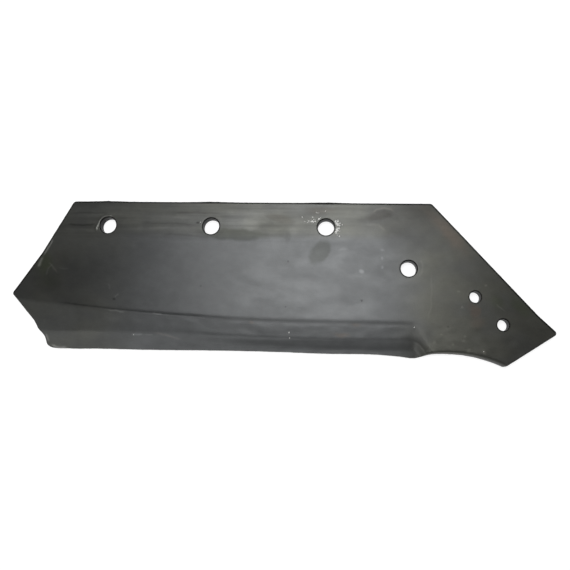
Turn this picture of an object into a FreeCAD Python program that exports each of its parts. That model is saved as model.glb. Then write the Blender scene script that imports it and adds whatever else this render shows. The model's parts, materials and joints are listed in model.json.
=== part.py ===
"""Plough share: one forged and punched steel blade, lying on its flat seat face.

Frame, in millimetres: the origin is the centre of the middle one of the three seat bolts, on the seat
face. +X runs along the row of seat bolts towards the nose, +Y towards the seat edge, and +Z out of the
forged face. The cutting edge lies towards -Y.

The blade starts as a cropped flat of even thickness. The smith draws its lower edge out in two steps:
a shallow band below the crease, then a steep one below the shoulder, which turns hollow towards the nose.
Both run out short of the nose, where the full thickness carries on down to the hollow of the toe.
"""
import FreeCAD, Part
import math
import os

from FreeCAD import Vector

# ---- the flat -------------------------------------------------------------------------------------
THICKNESS = 11.0
SEAT_EDGE_Y = 27.2           # from the row of seat bolts up to the seat edge
SEAT_EDGE_START_X = -157.0   # upper corner at the wing
SEAT_EDGE_END_X = 239.5      # upper corner at the landside
CUTTING_EDGE_Y = -137.0      # nominal line of the cutting edge

# ---- wing end -------------------------------------------------------------------------------------
WING_TIP = (-218.9, -78.5)
WING_BEND = (-189.0, -32.6)  # the cropped edge above the tip turns a few degrees here
WING_END_ANGLE = 46.9        # slope of the end below the tip, degrees
WING_END_STRAIGHT = 40.0     # length of that end before the drawn-out metal spreads

# ---- nose -----------------------------------------------------------------------------------------
LANDSIDE_ANGLE = 47.9        # slope of the landside edge, degrees
LANDSIDE_LENGTH = 160.0      # down to where the nose flares
NOSE_FLARE_ANGLE = 43.6
NOSE_FLARE_LENGTH = 27.0
NOSE_END_ANGLE = 33.3        # slope of the end from the nose tip back to the toe
NOSE_END_LENGTH = 63.2
TOE_BLUNT = 1.6              # small flat across the toe
HOLLOW_RADIUS = 135.2        # arc from the toe up to the crest of the hollow
HOLLOW_CREST = (256.6, -133.3)

# ---- corner radii ---------------------------------------------------------------------------------
SEAT_CORNER_RADIUS = 4.0
WING_TIP_RADIUS = 2.4
NOSE_TIP_RADIUS = 3.0
SOFT_BEND_RADIUS = 60.0

MARGIN = 20.0                # how far construction shapes reach past the blade

# ---- the drawn edge, along X from the wing to the nose --------------------------------------------
# (x, how far the edge strays from its nominal line, + towards the seat edge)
EDGE_WAVE = ((-148, -0.5), (-126, 0.1), (-66, 0.3), (-18, 1.0), (42, 1.6), (90, 1.4), (138, 1.0),
             (174, 1.5), (197, 0.5), (212, -0.8), (221, -1.5), (228, 0.2), (236, 2.5), (244, 3.6))
# metal that spread past the wing end, as points from the end of its straight part down to the edge
WING_SPREAD = ((-189.2, -111.6), (-186.7, -116.0), (-182.8, -120.3), (-179.3, -124.5), (-177.6, -129.6),
               (-176.6, -133.2), (-172.5, -136.2), (-167.0, -137.3), (-156.0, -137.3))

# ---- the forged bands -----------------------------------------------------------------------------
CREASE_Y = -102.5            # straight part of the crease, where the drawing out starts
CREASE_TANGENT_X = 110.0     # from here towards the wing the crease climbs on a long arc
CREASE_RADIUS = 2500.0
BAND_STEEPENS_Y = -129.5     # where the steep band eases into the lip of the edge
BEYOND_EDGE_Y = -142.0       # the sections run on past the edge, so that they cut it cleanly
# (x, shoulder y, thickness at the shoulder, where the band eases, and past the edge)
BAND_STATIONS = (
    (-245, -118.5, 9.3, 6.4, 3.0), (-180, -118.5, 9.3, 6.3, 2.8), (-110, -118.2, 9.2, 6.2, 2.7),
    (-40, -117.6, 9.2, 5.9, 2.8), (30, -120.4, 9.3, 5.3, 3.2), (100, -122.0, 9.3, 5.0, 3.4),
    (165, -121.6, 9.4, 5.1, 3.5), (210, -119.6, 9.5, 5.7, 3.9))
RUN_OUT_START = (221.0, -102.5)   # the bands end on a ramp from here
RUN_OUT_END = (242.0, -135.5)     # down to here
RUN_OUT_STEPS = 5
RUN_OUT_LIFT = 5.5                # how far the ramp lifts the edge by then
RUN_OUT_CURVE = 1.3
RUN_OUT_NARROWING = 0.5

# ---- bolt holes -----------------------------------------------------------------------------------
SEAT_BOLT_X = (-116.0, 0.0, 126.3)
SEAT_HOLE_DIAMETER = 18.0
LOWER_BOLT = (215.0, -44.3)
LOWER_HOLE_DIAMETER = 17.0
POINT_BOLT = (283.6, -73.4)       # upper one of the pair that holds the reversible point
POINT_BOLT_PITCH = 40.0
POINT_BOLT_ANGLE = 46.1           # slope of that pair, close to the landside's
POINT_HOLE_DIAMETER = 12.0
HOLE_LIP = 1.2                    # radius rolled into each mouth on the forged face
POINT_HOLE_LIP = 0.8

# ---- worn and worked edges ------------------------------------------------------------------------
FORGED_ARRIS_RADIUS = 0.9    # cropped arrises of the forged face
SEAT_ARRIS_RADIUS = 0.5      # and of the seat face
HOLLOW_BEVEL = 1.9           # width of the bevel along the hollow
HOLLOW_BEVEL_DEPTH = 5.0


def polar(start, angle_deg, length):
    """Point at a length and an angle from start, in plan."""
    angle = math.radians(angle_deg)
    return (start[0] + length * math.cos(angle), start[1] + length * math.sin(angle))


def plan(point):
    """Point of the plan as a vector at the height of the seat face."""
    return Vector(point[0], point[1], 0)


def rounded_path(corners):
    """Edges through corners (point, radius): straight runs joined by tangent arcs."""
    points = [plan(point) for point, _ in corners]
    edges = []
    start = points[0]
    for index in range(1, len(points) - 1):
        before, corner, after = points[index - 1], points[index], points[index + 1]
        inward = (before - corner).normalize()
        outward = (after - corner).normalize()
        half_angle = inward.getAngle(outward) / 2.0
        radius = corners[index][1]
        setback = radius / math.tan(half_angle)
        bisector = (inward + outward).normalize()
        middle = corner + bisector * (radius / math.sin(half_angle) - radius)
        arc_start = corner + inward * setback
        arc_end = corner + outward * setback
        edges.append(Part.LineSegment(start, arc_start).toShape())
        edges.append(Part.Arc(arc_start, middle, arc_end).toShape())
        start = arc_end
    edges.append(Part.LineSegment(start, points[-1]).toShape())
    return edges


def smooth_curve(points):
    """Smooth curve through points."""
    curve = Part.BSplineCurve()
    curve.interpolate([plan(point) for point in points])
    return curve.toShape()


def corners_of_flat():
    """Places worked out from the driving dimensions: where the wing end spreads, and the nose."""
    wing_end = polar(WING_TIP, -WING_END_ANGLE, WING_END_STRAIGHT)
    landside_bend = polar((SEAT_EDGE_END_X, SEAT_EDGE_Y), -LANDSIDE_ANGLE, LANDSIDE_LENGTH)
    nose_tip = polar(landside_bend, -NOSE_FLARE_ANGLE, NOSE_FLARE_LENGTH)
    return wing_end, landside_bend, nose_tip


def cropped_flat():
    """The flat cropped on its upper sides, their arrises worn round, and left long at the lower one."""
    wing_end, landside_bend, nose_tip = corners_of_flat()
    nose_end = polar(nose_tip, 180 + NOSE_END_ANGLE, NOSE_END_LENGTH + MARGIN)
    cropped = rounded_path([
        (wing_end, 0),
        (WING_TIP, WING_TIP_RADIUS),
        (WING_BEND, SOFT_BEND_RADIUS),
        ((SEAT_EDGE_START_X, SEAT_EDGE_Y), SEAT_CORNER_RADIUS),
        ((SEAT_EDGE_END_X, SEAT_EDGE_Y), SEAT_CORNER_RADIUS),
        (landside_bend, SOFT_BEND_RADIUS),
        (nose_tip, NOSE_TIP_RADIUS),
        (nose_end, 0)])
    low = CUTTING_EDGE_Y - 2 * MARGIN
    uncropped = rounded_path([
        (nose_end, 0),
        ((nose_end[0], low), 1),
        ((wing_end[0] - MARGIN, low), 1),
        ((wing_end[0] - MARGIN, wing_end[1] - 1), 1),
        (wing_end, 0)])
    flat = Part.Face(Part.Wire(cropped + uncropped)).extrude(Vector(0, 0, THICKNESS))
    for height, radius in ((THICKNESS, FORGED_ARRIS_RADIUS), (0.0, SEAT_ARRIS_RADIUS)):
        places = [edge.CenterOfMass + Vector(0, 0, height) for edge in cropped]
        arrises = [edge for edge in flat.Edges
                   if any((edge.CenterOfMass - place).Length < 0.01 for place in places)]
        flat = flat.makeFillet(radius, arrises)
    return flat


def drawn_edge_trim():
    """Everything above the finished lower edge: toe, hollow, drawn edge and spread metal."""
    wing_end, _, nose_tip = corners_of_flat()
    toe_front = polar(nose_tip, 180 + NOSE_END_ANGLE, NOSE_END_LENGTH)
    # the hollow is an arc that leaves its crest level and drops to the toe
    sweep = math.degrees(math.asin((toe_front[0] - TOE_BLUNT - HOLLOW_CREST[0]) / HOLLOW_RADIUS))
    centre = (HOLLOW_CREST[0], HOLLOW_CREST[1] - HOLLOW_RADIUS)
    toe_back = polar(centre, 90 - sweep, HOLLOW_RADIUS)
    middle = polar(centre, 90 - sweep / 2, HOLLOW_RADIUS)
    hollow = Part.Arc(plan(toe_back), plan(middle), plan(HOLLOW_CREST)).toShape()

    drawn_edge = [(x, CUTTING_EDGE_Y + stray) for x, stray in EDGE_WAVE]
    drawn = smooth_curve([HOLLOW_CREST] + drawn_edge[::-1])
    spread = smooth_curve([drawn_edge[0]] + list(WING_SPREAD[::-1]) + [wing_end])

    # the rest of the loop stays clear of the flat
    toe_line = (plan(toe_front) - plan(toe_back)).normalize() * (4 * MARGIN)
    right = toe_front[0] + 3 * MARGIN
    left = WING_TIP[0] - MARGIN
    top = SEAT_EDGE_Y + MARGIN
    loop = [plan(wing_end), plan((left, wing_end[1])), plan((left, top)), plan((right, top)),
            plan(toe_back) + toe_line, plan(toe_back)]
    clear = [Part.LineSegment(start, end).toShape() for start, end in zip(loop, loop[1:])]
    wire = Part.Wire(Part.__sortEdges__([hollow, drawn, spread] + clear))
    return Part.Face(wire).extrude(Vector(0, 0, THICKNESS + MARGIN)).translated(Vector(0, 0, -MARGIN / 2))


def crease_y(x):
    """Line of the crease: straight near the nose, and a long arc that climbs towards the wing tip."""
    return CREASE_Y + max(0.0, CREASE_TANGENT_X - x) ** 2 / (2 * CREASE_RADIUS)


def band_section(x, crease, shoulder, eased, beyond):
    """Section of the metal that the drawing out takes away at x, closed above the forged face.

    crease, shoulder, eased and beyond are (y, z) points from the flat down to past the edge.
    """
    clearance = 3.0
    slope = (crease[1] - shoulder[1]) / (crease[0] - shoulder[0])
    above = (crease[0] + clearance, crease[1] + slope * clearance)
    roof = THICKNESS + 3 * clearance
    profile = [above, shoulder, eased, beyond, (beyond[0], roof), (above[0], roof)]
    points = [Vector(x, y, z) for y, z in profile]
    return Part.makePolygon(points + points[:1])


def drawn_out_bands():
    """Cutters for the two forged bands, and for the ramp on which they end near the nose."""
    sections = []
    for x, shoulder_y, shoulder_z, eased_z, beyond_z in BAND_STATIONS:
        sections.append(band_section(x, (crease_y(x), THICKNESS), (shoulder_y, shoulder_z),
                                     (BAND_STEEPENS_Y, eased_z), (BEYOND_EDGE_Y, beyond_z)))
    bands = Part.makeLoft(sections, True, False)

    # each step of the ramp lifts the section out of the flat, and brings its crease nearer to the edge
    _, shoulder_y, shoulder_z, eased_z, beyond_z = BAND_STATIONS[-1]
    steps = [sections[-1]]
    for step in range(RUN_OUT_STEPS + 1):
        gone = step / RUN_OUT_STEPS
        x = RUN_OUT_START[0] + gone * (RUN_OUT_END[0] - RUN_OUT_START[0])
        crease = RUN_OUT_START[1] + gone * (RUN_OUT_END[1] - RUN_OUT_START[1])
        narrowed = 1 - RUN_OUT_NARROWING * gone
        lift = RUN_OUT_LIFT * gone ** RUN_OUT_CURVE / (THICKNESS - beyond_z)
        profile = [(crease, THICKNESS)]
        for y, z in ((shoulder_y, shoulder_z), (BAND_STEEPENS_Y, eased_z), (BEYOND_EDGE_Y, beyond_z)):
            profile.append((crease + narrowed * (y - CREASE_Y), z + lift * (THICKNESS - z)))
        steps.append(band_section(x, *profile))
    return [bands, Part.makeLoft(steps, True, True)]


def punched_hole(centre, diameter, lip):
    """Cutter for a straight punched hole whose mouth on the forged face is rolled over."""
    radius = diameter / 2
    over = 2.0
    bottom_centre = Vector(0, 0, -over)
    bottom = Vector(radius, 0, -over)
    lip_start = Vector(radius, 0, THICKNESS - lip)
    lip_middle = lip_start + Vector(lip * (1 - math.cos(math.pi / 4)), 0, lip * math.sin(math.pi / 4))
    lip_end = lip_start + Vector(lip, 0, lip)
    top = lip_end + Vector(0, 0, over)
    top_centre = Vector(0, 0, THICKNESS + over)
    edges = [
        Part.LineSegment(bottom_centre, bottom).toShape(),
        Part.LineSegment(bottom, lip_start).toShape(),
        Part.Arc(lip_start, lip_middle, lip_end).toShape(),
        Part.LineSegment(lip_end, top).toShape(),
        Part.LineSegment(top, top_centre).toShape(),
        Part.LineSegment(top_centre, bottom_centre).toShape()]
    cutter = Part.Face(Part.Wire(edges)).revolve(Vector(0, 0, 0), Vector(0, 0, 1), 360)
    cutter.translate(plan(centre))
    return cutter


def hollow_bevel():
    """Cutter for the bevel along the hollow: a cone about the centre of its arc."""
    centre = Vector(HOLLOW_CREST[0], HOLLOW_CREST[1] - HOLLOW_RADIUS, THICKNESS - HOLLOW_BEVEL_DEPTH)
    height = 2 * HOLLOW_BEVEL_DEPTH
    return Part.makeCone(HOLLOW_RADIUS, HOLLOW_RADIUS + 2 * HOLLOW_BEVEL, height, centre)


def plough_share():
    """The finished blade as one solid."""
    blade = cropped_flat().common(drawn_edge_trim())
    for cutter in drawn_out_bands() + [hollow_bevel()]:
        blade = blade.cut(cutter)
    for x in SEAT_BOLT_X:
        blade = blade.cut(punched_hole((x, 0.0), SEAT_HOLE_DIAMETER, HOLE_LIP))
    blade = blade.cut(punched_hole(LOWER_BOLT, LOWER_HOLE_DIAMETER, HOLE_LIP))
    for step in (0, POINT_BOLT_PITCH):
        point_bolt = polar(POINT_BOLT, -POINT_BOLT_ANGLE, step)
        blade = blade.cut(punched_hole(point_bolt, POINT_HOLE_DIAMETER, POINT_HOLE_LIP))
    return blade


share = plough_share()
assert share.isValid() and len(share.Solids) == 1
share = share.Solids[0]
os.makedirs("parts", exist_ok=True)
share.exportStep("parts/share_blade.step")
box = share.optimalBoundingBox(False, False)
size = (box.XLength, box.YLength, box.ZLength)
print("size %.1f x %.1f x %.1f, volume %.1f cm3" % (*size, share.Volume / 1000))
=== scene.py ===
"""A forged plough share in mill-scaled steel, lying on its seat face in a pale studio cove.

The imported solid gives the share's form and place, and this file dresses it: a fine skin with worn
arrises, forging ripples, pits, burrs and spatter, and procedural steels for the scaled faces, the
cropped edges and the flecks. The frame is the solid's own, in metres: the origin is the middle seat
bolt's centre on the seat face, +X runs to the nose, +Y to the straight seat edge and +Z out of
the forged face.
"""

import json
import math
import random
from collections import namedtuple

import bmesh
import bpy
import numpy as np
from bpy.props import FloatProperty, FloatVectorProperty, IntProperty, PointerProperty
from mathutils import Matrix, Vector, kdtree, noise
from mathutils.bvhtree import BVHTree
from mathutils.geometry import delaunay_2d_cdt


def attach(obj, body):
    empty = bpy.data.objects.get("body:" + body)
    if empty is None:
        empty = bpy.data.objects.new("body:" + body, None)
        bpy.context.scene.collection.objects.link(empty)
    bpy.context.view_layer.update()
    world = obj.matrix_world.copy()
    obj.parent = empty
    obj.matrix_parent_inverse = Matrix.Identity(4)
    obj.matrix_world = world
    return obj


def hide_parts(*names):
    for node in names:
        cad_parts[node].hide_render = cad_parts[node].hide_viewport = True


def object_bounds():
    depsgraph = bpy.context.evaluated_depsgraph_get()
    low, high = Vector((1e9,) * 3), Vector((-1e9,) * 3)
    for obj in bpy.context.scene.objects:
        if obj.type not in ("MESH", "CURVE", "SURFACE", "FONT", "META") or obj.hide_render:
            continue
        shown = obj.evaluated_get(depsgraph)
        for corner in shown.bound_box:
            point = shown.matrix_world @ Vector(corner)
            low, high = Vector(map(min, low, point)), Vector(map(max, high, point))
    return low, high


bl_info = {
    "name": "Forged plough share",
    "version": (1, 0, 0),
    "blender": (4, 5, 0),
    "location": "3D View > Sidebar > Share",
    "description": "Dresses a forged plough share over its solid and lays it in a pale cove",
    "category": "Object",
}

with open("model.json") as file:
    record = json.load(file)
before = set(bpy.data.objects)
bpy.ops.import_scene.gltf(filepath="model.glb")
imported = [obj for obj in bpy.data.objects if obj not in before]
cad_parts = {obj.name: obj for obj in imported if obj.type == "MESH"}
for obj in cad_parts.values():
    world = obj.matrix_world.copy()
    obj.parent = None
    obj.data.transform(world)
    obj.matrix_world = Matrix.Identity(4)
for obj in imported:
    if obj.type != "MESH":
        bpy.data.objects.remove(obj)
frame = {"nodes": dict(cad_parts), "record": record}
CAD_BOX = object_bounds()
BLADE = "share_blade"
SKIN = "share_skin"
MM = 0.001
POINT_PAIR_ANGLE = math.radians(-46.1)
# the bolt holes in their order from the wing to the nose
WING, MIDDLE, NOSE, LOWER, POINT, TIP = range(6)


def bolt_holes():
    """Plan centre and radius of every bolt hole, from the wing to the nose, as the record gives them."""
    holes = []
    for mount in frame["record"]["mounts"]:
        place = np.array(mount["pos_m"][:2])
        sizes = mount["dims"]
        if mount["kind"] == "bore":
            holes.append((place, sizes["r_mm"] * MM))
        elif mount["kind"] == "bolt_pattern":
            towards_nose = np.array([math.cos(POINT_PAIR_ANGLE), math.sin(POINT_PAIR_ANGLE)])
            reach = towards_nose * sizes["pcd_mm"] * MM / 2
            holes.append((place - reach, sizes["hole_r_mm"] * MM))
            holes.append((place + reach, sizes["hole_r_mm"] * MM))
    return sorted(holes, key=lambda hole: hole[0][0])


HOLE_CENTRES = [centre for centre, _ in bolt_holes()]


# ---------------------------------------------------------------- sizes and finishes


class ShareSkin(bpy.types.PropertyGroup):
    """Sizes of the skin that dresses the solid."""

    face_step: FloatProperty(
        name="Forged face spacing", default=1.25 * MM, unit="LENGTH",
        description="Distance between the skin's points over the forged face",
    )
    seat_step: FloatProperty(
        name="Seat face spacing", default=3.5 * MM, unit="LENGTH",
        description="Distance between the skin's points over the hidden seat face",
    )
    rim_step: FloatProperty(
        name="Rim spacing", default=0.9 * MM, unit="LENGTH",
        description="Distance between the skin's points along the edges and hole mouths",
    )
    wall_rows: IntProperty(
        name="Edge rows", default=7,
        description="Rows of faces down a cropped edge",
    )
    waviness: FloatProperty(
        name="Rolling waviness", default=0.06 * MM, unit="LENGTH",
        description="Height of the slow unevenness that rolling and forging leave",
    )
    hammer_depth: FloatProperty(
        name="Hammer dimples", default=0.12 * MM, unit="LENGTH",
        description="Depth of the dimples on the drawn-out bands",
    )
    fold_depth: FloatProperty(
        name="Fold line depth", default=0.35 * MM, unit="LENGTH",
        description="Depth of the thin fold along the upper crease at the wing end",
    )
    punch_bulge: FloatProperty(
        name="Punching bulge", default=0.60 * MM, unit="LENGTH",
        description="How far the seat edge bulges beside each bolt hole of its row",
    )
    edge_unevenness: FloatProperty(
        name="Cropped outline unevenness", default=0.14 * MM, unit="LENGTH",
        description="How far the cropped outline strays from its line",
    )
    crop_roughness: FloatProperty(
        name="Cropped edge roughness", default=0.10 * MM, unit="LENGTH",
        description="Depth of the tearing down the cropped and punched walls",
    )


class ShareSteel(bpy.types.PropertyGroup):
    """Colours of the steel."""

    scale_color: FloatVectorProperty(
        name="Mill scale", default=(0.050, 0.052, 0.053), subtype="COLOR",
        description="Colour of the dark oxide on the rolled and forged faces",
    )
    olive_color: FloatVectorProperty(
        name="Oiled scale", default=(0.0515, 0.052, 0.044), subtype="COLOR",
        description="Warmer tint that the oxide takes towards both ends",
    )
    worn_color: FloatVectorProperty(
        name="Worn steel", default=(0.22, 0.22, 0.21), subtype="COLOR",
        description="Colour of edges and ridges where the scale has come off",
    )
    green_color: FloatVectorProperty(
        name="Greenish oxide", default=(0.046, 0.053, 0.034), subtype="COLOR",
        description="Tint of oiled and stained scale",
    )
    cropped_color: FloatVectorProperty(
        name="Cropped edge", default=(0.10, 0.10, 0.098), subtype="COLOR",
        description="Colour of the torn steel down the cropped edges",
    )
    # painted shade: the near-black walls of the punched holes stand for the shade in the bores
    hole_wall_shade_color: FloatVectorProperty(
        name="Punched walls", default=(0.012, 0.012, 0.012), subtype="COLOR",
        description="Colour of the dark walls of the punched holes",
    )
    fleck_color: FloatVectorProperty(
        name="Flecks", default=(0.62, 0.62, 0.60), subtype="COLOR",
        description="Colour of spatter and lifted flakes",
    )
    rust_color: FloatVectorProperty(
        name="Light rust", default=(0.066, 0.054, 0.044), subtype="COLOR",
        description="Thin brown rust near the cropped edges",
    )


class ShareStage(bpy.types.PropertyGroup):
    """The cove, the light and the camera."""

    cove_radius: FloatProperty(
        name="Cove radius", default=2.2, unit="LENGTH",
        description="Radius of the cove's level floor",
    )
    cove_height: FloatProperty(
        name="Cove height", default=2.0, unit="LENGTH",
        description="Height of the cove's wall",
    )
    cove_color: FloatVectorProperty(
        name="Cove paint", default=(0.36, 0.36, 0.36), subtype="COLOR",
        description="Colour of the pale floor and backdrop",
    )
    cove_glow: FloatProperty(
        name="Cove brightness", default=0.80,
        description="Light that the camera and reflections see on the cove beside its own shading",
    )
    sky_overhead: FloatProperty(
        name="Sky overhead", default=0.34,
        description="Strength of the even light from straight above",
    )
    sky_low: FloatProperty(
        name="Sky at the sides", default=0.78,
        description="Strength of the even light from low round about",
    )
    main_center: FloatVectorProperty(
        name="Main soft box place", default=(0.06, 0.24, 1.5), subtype="TRANSLATION",
        description="Centre of the large soft box above the share",
    )
    main_size: FloatVectorProperty(
        name="Main soft box size", default=(0.72, 0.66), size=2, unit="LENGTH",
        description="Width and depth of the large soft box",
    )
    main_radiance: FloatProperty(
        name="Main soft box brightness", default=6.4,
        description="How bright the large soft box looks beside the sky's strength",
    )
    side_center: FloatVectorProperty(
        name="Side soft box place", default=(-0.60, -0.93, 1.5), subtype="TRANSLATION",
        description="Centre of the small soft box at the wing end's lower side",
    )
    side_size: FloatVectorProperty(
        name="Side soft box size", default=(1.0, 0.45), size=2, unit="LENGTH",
        description="Width and depth of the small soft box",
    )
    side_radiance: FloatProperty(
        name="Side soft box brightness", default=1.8,
        description="How bright the small soft box looks beside the sky's strength",
    )
    camera_place: FloatVectorProperty(
        name="Camera place", default=(0.13187, -0.16302, 0.64505), subtype="TRANSLATION",
        description="Where the camera stands over the share",
    )
    camera_turn: FloatVectorProperty(
        name="Camera turn", default=tuple(map(math.radians, (8.952, 4.097, 1.632))), subtype="EULER",
        description="The camera's tilt, roll and heading",
    )
    camera_lens: FloatProperty(
        name="Camera lens", default=37.895,
        description="Focal length on a 36 mm sensor, in millimetres",
    )


# ---------------------------------------------------------------- the skin's plan

SECTION_HEIGHT = 2.5 * MM
RIM_RINGS = (0.22 * MM, 0.5 * MM, 0.9 * MM, 1.5 * MM)
RIM_NUDGE = 0.03 * MM
# how far round a rim point the solid's height is looked for, where bulging took it past the solid
HEIGHT_REACHES = (0, 0.15 * MM, 0.4 * MM, 0.8 * MM, 1.4 * MM)
HEIGHT_DIRECTIONS = 8
# the softened creases: how far the easing reaches, its weight at the point and at shares of the reach
EASING_REACH = 3.2 * MM
EASING_CORE = 3.0
EASING = ((0.33, 1.0), (0.67, 1.0), (1.0, 0.5))
RUN_OUT_SPREAD = 24 * MM
# a small burr on the seat edge beside the wing bolt
EDGE_BURR = 0.5 * MM
EDGE_BURR_SHIFT = 1.5 * MM
EDGE_BURR_WIDTH = 1.3 * MM
BULGE_WIDTH = 21 * MM
LONG_CROP, SHORT_CROP = 7 * MM, 2.5 * MM


def section_loops(node, height):
    """Closed loops of plan points where a level plane cuts the node, in the mesh's own order."""
    cut = bmesh.new()
    cut.from_mesh(node.data)
    bmesh.ops.remove_doubles(cut, verts=cut.verts, dist=1e-6)
    bmesh.ops.bisect_plane(
        cut,
        geom=[*cut.verts, *cut.edges, *cut.faces],
        plane_co=(0, 0, height),
        plane_no=(0, 0, 1),
        clear_inner=True,
        clear_outer=True,
    )
    loops = []
    seen = set()
    for start in cut.verts:
        if start in seen:
            continue
        loop = []
        here = start
        while here is not None:
            seen.add(here)
            loop.append(here.co.xy[:])
            onward = [edge.other_vert(here) for edge in here.link_edges]
            here = next((vert for vert in onward if vert not in seen), None)
        loops.append(np.array(loop))
    cut.free()
    return loops


def enclosed_area(loop):
    """Area inside a loop, positive when it runs anticlockwise."""
    x, y = loop.T
    return 0.5 * float(np.sum(x * np.roll(y, -1) - y * np.roll(x, -1)))


def even_points(loop, step, corner=math.radians(12)):
    """The loop with its corners kept and points at even steps between them."""
    ahead = np.roll(loop, -1, axis=0) - loop
    heading = np.arctan2(ahead[:, 1], ahead[:, 0])
    turn = (heading - np.roll(heading, 1) + math.pi) % math.tau - math.pi
    corners = np.flatnonzero(np.abs(turn) > corner)
    loop = np.roll(loop, -corners[0], axis=0)
    closed = np.vstack([loop, loop[:1]])
    ends = [*(corners - corners[0]), len(loop)]
    points = []
    for first, last in zip(ends[:-1], ends[1:]):
        stretch = closed[first : last + 1]
        reach = np.r_[0, np.cumsum(np.linalg.norm(np.diff(stretch, axis=0), axis=1))]
        at = np.linspace(0, reach[-1], max(1, round(reach[-1] / step)), endpoint=False)
        points.append(np.c_[np.interp(at, reach, stretch[:, 0]), np.interp(at, reach, stretch[:, 1])])
    return np.vstack(points)


def hole_loop(centre, radius, step):
    """Points round a bolt hole, clockwise, so that the steel lies on the loop's left."""
    count = round(math.tau * radius / step)
    angle = -np.arange(count) * math.tau / count
    return centre + radius * np.c_[np.cos(angle), np.sin(angle)]


def share_loops(node, step):
    """The share's outline, anticlockwise, and then its bolt holes."""
    outline = max(section_loops(node, SECTION_HEIGHT), key=lambda loop: abs(enclosed_area(loop)))
    if enclosed_area(outline) < 0:
        outline = outline[::-1]
    holes = [hole_loop(centre, radius, step) for centre, radius in bolt_holes()]
    return [worked_outline(even_points(outline, step), bpy.context.scene.share_skin), *holes]


def inward(loop):
    """Unit directions from a loop's points into the steel on its left."""
    along = np.roll(loop, -1, axis=0) - np.roll(loop, 1, axis=0)
    along /= np.linalg.norm(along, axis=1)[:, None]
    return np.c_[-along[:, 1], along[:, 0]]


def worked_outline(outline, skin):
    """The outline with the bulges that punching pushes out, and the small unevenness of cropping."""
    seat_edge_y = CAD_BOX[1][1]
    worked = outline.copy()
    for index, ((x, y), into) in enumerate(zip(outline, inward(outline))):
        long_wave = noise.noise(Vector((x, y, 0)) / LONG_CROP)
        short_wave = noise.noise(Vector((x, y, 4 * MM)) / SHORT_CROP)
        out = skin.edge_unevenness * (long_wave + 0.6 * short_wave)
        if y > seat_edge_y - 0.5 * MM:
            for hole in (WING, MIDDLE, NOSE):
                out += skin.punch_bulge * hump(x - HOLE_CENTRES[hole][0], BULGE_WIDTH)
            out += EDGE_BURR * hump(x - HOLE_CENTRES[WING][0] + EDGE_BURR_SHIFT, EDGE_BURR_WIDTH)
        worked[index] -= out * into
    return worked


def inside(loop, x, y):
    """Whether a plan point lies inside a loop."""
    x0, y0 = loop.T
    x1, y1 = np.roll(loop, -1, axis=0).T
    crosses = (y0 > y) != (y1 > y)
    at = x0 + (y - y0) / np.where(crosses, y1 - y0, 1) * (x1 - x0)
    return np.count_nonzero(crosses & (at > x)) % 2 == 1


def wall_tree(loops):
    """A search tree over upright walls along plan loops."""
    corners = []
    walls = []
    for loop in loops:
        first = len(corners)
        corners += [(x, y, z) for x, y in loop for z in (-1, 1)]
        for low in range(first, len(corners), 2):
            onward = low + 2 if low + 2 < len(corners) else first
            walls.append((low, onward, onward + 1, low + 1))
    return BVHTree.FromPolygons(corners, walls)


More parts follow.
